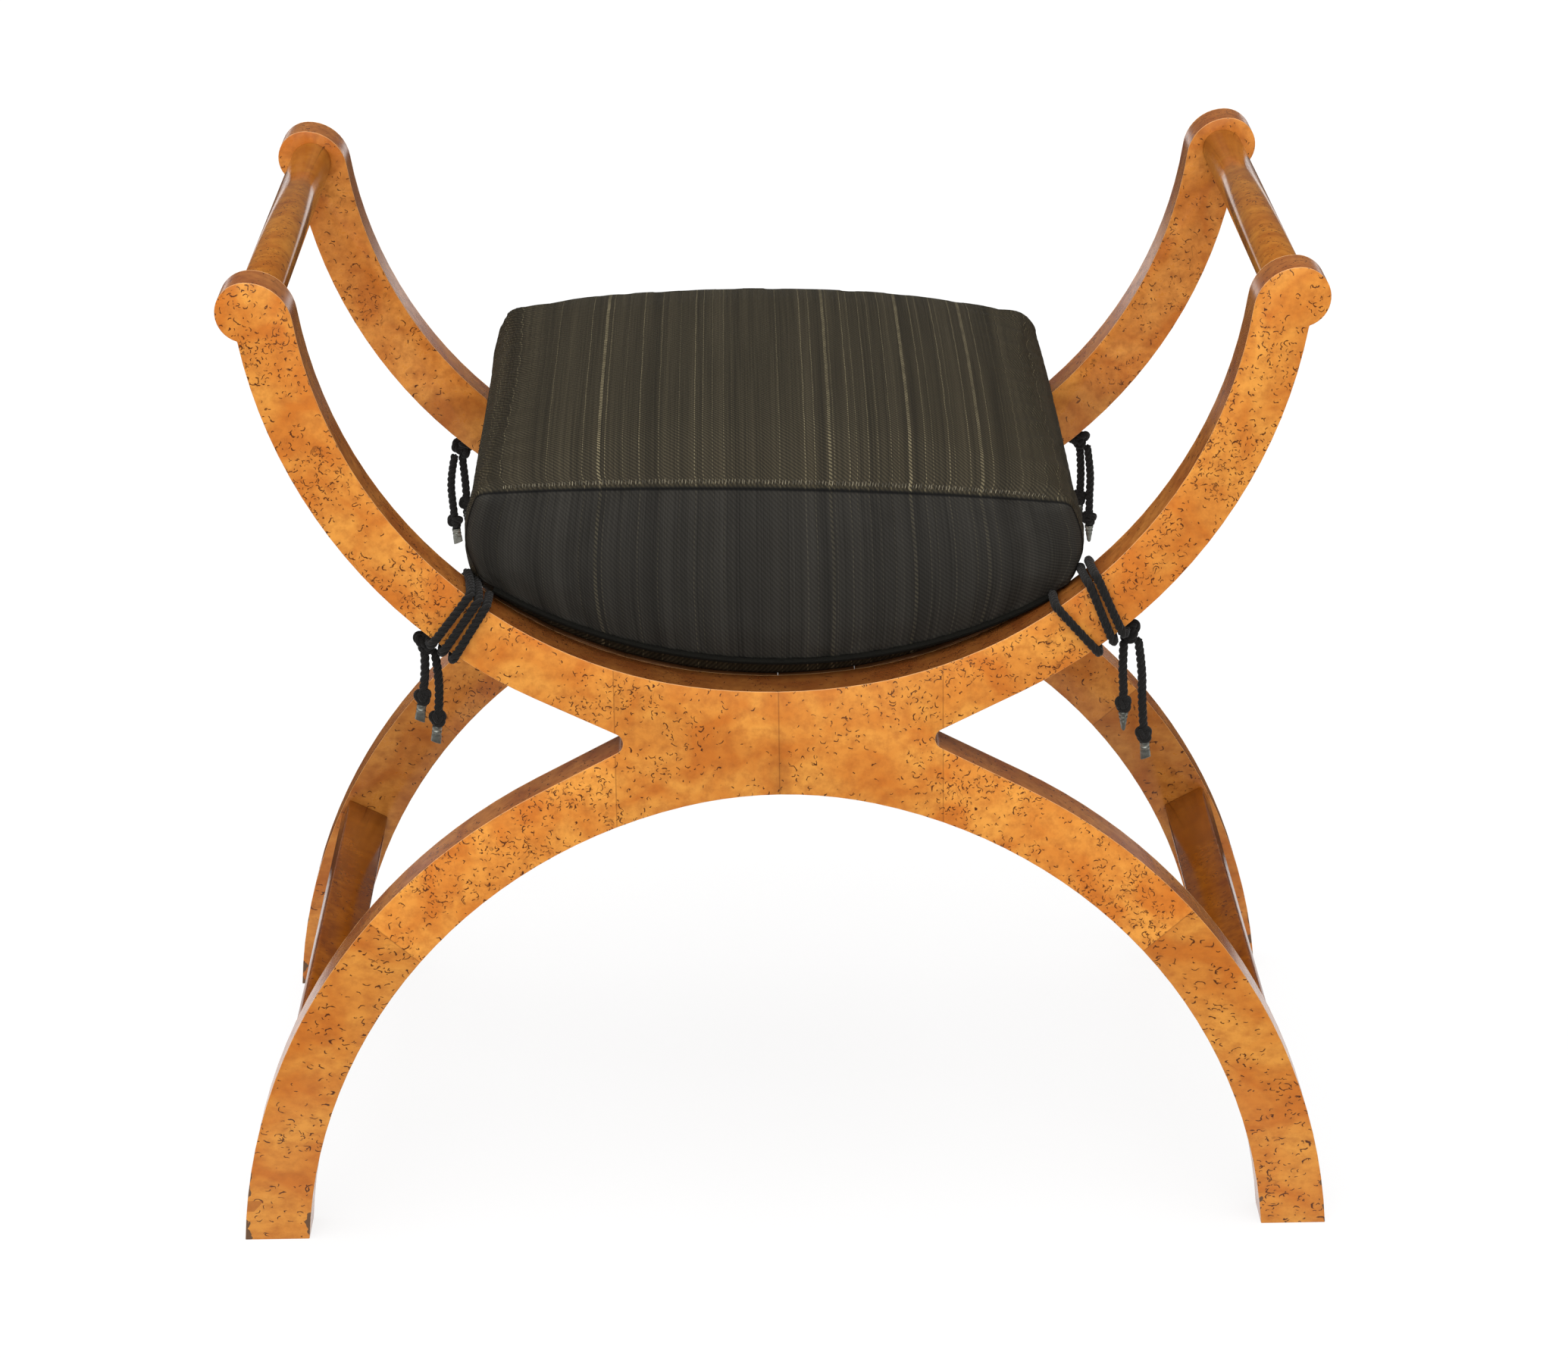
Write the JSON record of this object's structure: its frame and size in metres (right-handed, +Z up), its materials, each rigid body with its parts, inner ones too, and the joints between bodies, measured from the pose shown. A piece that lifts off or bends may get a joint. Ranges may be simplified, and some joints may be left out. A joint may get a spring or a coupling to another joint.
{
  "type": "stool",
  "caption": "Curule stool of two veneered X frames joined by handle rods and stretchers, with a slatted seat and a tied pinstripe box cushion",
  "frame": {"origin": "on the floor at the middle of the four feet", "axes": "+X across the stool from the left handle to the right, +Y from the front frame to the back, +Z up"},
  "size_m": [0.7088, 0.487, 0.644],
  "materials": {
    "burr_birch_veneer": "polished burr birch veneer, golden orange with dark flecks",
    "polished_edge_banding": "glossy burr birch banding, amber-brown with age",
    "polished_birch": "glossy burr birch, amber-brown",
    "birch_core": "plain birch, inside the frame",
    "beech_dowel": "plain beech, inside the frame",
    "plain_birch": "planed birch, unpolished",
    "steel_screw": "plain steel",
    "pinstripe_twill": "dark twill with pale pinstripes",
    "black_cord": "black twisted cord",
    "crimped_tip": "dull crimped metal"
  },
  "bodies": {
    "root": {"front_left_arm": "birch_core", "front_left_leg": "birch_core", "front_right_arm": "birch_core", "front_right_leg": "birch_core", "front_waist_dowels": "beech_dowel", "front_outer_veneer": "burr_birch_veneer", "front_inner_veneer": "burr_birch_veneer", "front_edge_banding": "polished_edge_banding", "front_seat_bearer": "plain_birch", "back_left_arm": "birch_core", "back_left_leg": "birch_core", "back_right_arm": "birch_core", "back_right_leg": "birch_core", "back_waist_dowels": "beech_dowel", "back_outer_veneer": "burr_birch_veneer", "back_inner_veneer": "burr_birch_veneer", "back_edge_banding": "polished_edge_banding", "back_seat_bearer": "plain_birch", "left_handle": "polished_birch", "left_stretcher": "polished_birch", "right_handle": "polished_birch", "right_stretcher": "polished_birch", "bearer_screws": "steel_screw", "seat_slat_1": "plain_birch", "seat_slat_2": "plain_birch", "seat_slat_3": "plain_birch", "seat_slat_4": "plain_birch", "seat_slat_5": "plain_birch", "seat_slat_6": "plain_birch", "seat_slat_7": "plain_birch", "seat_slat_8": "plain_birch", "seat_cushion": "pinstripe_twill", "cushion_welts": "pinstripe_twill", "front_left_tie_wrap": "black_cord", "front_left_tie_knot": "black_cord", "front_left_tie_tails": "black_cord", "front_left_tie_tips": "crimped_tip", "front_right_tie_wrap": "black_cord", "front_right_tie_knot": "black_cord", "front_right_tie_tails": "black_cord", "front_right_tie_tips": "crimped_tip", "back_left_tie_wrap": "black_cord", "back_left_tie_knot": "black_cord", "back_left_tie_tails": "black_cord", "back_left_tie_tips": "crimped_tip", "back_right_tie_wrap": "black_cord", "back_right_tie_knot": "black_cord", "back_right_tie_tails": "black_cord", "back_right_tie_tips": "crimped_tip"}
  },
  "joints": []
}
